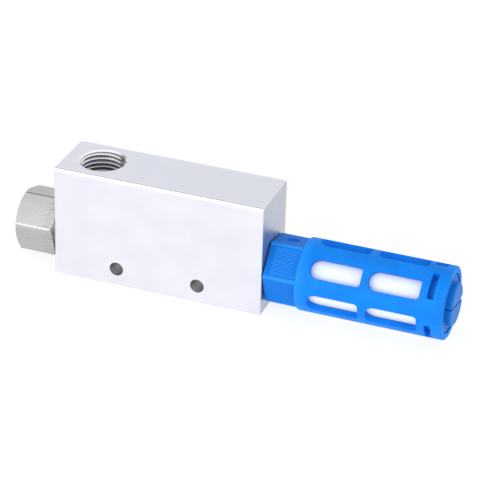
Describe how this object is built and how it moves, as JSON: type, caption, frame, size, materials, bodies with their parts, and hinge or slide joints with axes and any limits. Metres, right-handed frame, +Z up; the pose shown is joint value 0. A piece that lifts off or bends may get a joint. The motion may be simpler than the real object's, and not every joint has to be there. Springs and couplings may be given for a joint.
{
  "type": "vacuum generator",
  "caption": "Single-stage air ejector block with a hex supply fitting, a top vacuum port, mounting holes and a blue windowed exhaust silencer.",
  "frame": {"origin": "centre of the body block's bottom face", "axes": "+X along the main bore to the silencer, +Z up to the vacuum port, -Y is the front face with the mounting holes"},
  "size_m": [0.1341, 0.0216, 0.035],
  "materials": {
    "anodised_aluminium": "clear anodised, satin",
    "nickel_plate": "brass, bright nickel plated and machined",
    "brass": "turned",
    "blue_nylon": "moulded, semi-gloss",
    "white_felt": "matt porous felt",
    "black_rubber": "matt nitrile"
  },
  "bodies": {
    "block": {"body_block": "anodised_aluminium", "diffuser": "brass", "diffuser_front_o_ring": "black_rubber", "diffuser_rear_o_ring": "black_rubber"},
    "inlet_seal": {"inlet_o_ring": "black_rubber"},
    "inlet": {"inlet_fitting": "nickel_plate", "supply_nozzle": "brass", "nozzle_o_ring": "black_rubber"},
    "silencer_seal": {"silencer_gasket": "black_rubber"},
    "silencer": {"silencer_housing": "blue_nylon", "silencer_element": "white_felt"},
    "end_plug": {"silencer_end_plug": "blue_nylon"}
  },
  "joints": [
    {"name": "inlet_travel", "type": "slide", "parent": "block", "child": "inlet_seal", "axis": [-1, 0, 0], "range_m": [0, 0.00803]},
    {"name": "inlet_turn", "type": "hinge", "parent": "inlet_seal", "child": "inlet", "pos_m": [-0.0325, 0, 0.0113], "axis": [-1, 0, 0], "range_deg": [0, 2160]},
    {"name": "silencer_travel", "type": "slide", "parent": "block", "child": "silencer_seal", "axis": [1, 0, 0], "range_m": [0, 0.00937]},
    {"name": "silencer_turn", "type": "hinge", "parent": "silencer_seal", "child": "silencer", "pos_m": [0.0325, 0, 0.0113], "axis": [1, 0, 0], "range_deg": [0, 2520]},
    {"name": "end_plug_turn", "type": "hinge", "parent": "silencer", "child": "end_plug", "pos_m": [0.086, 0, 0.0113], "axis": [-1, 0, 0], "range_deg": [0, 14]}
  ],
  "couplings": [
    {"joint": "inlet_travel", "follows": "inlet_turn", "m_per_rad": 0.00021279},
    {"joint": "silencer_travel", "follows": "silencer_turn", "m_per_rad": 0.00021279}
  ]
}
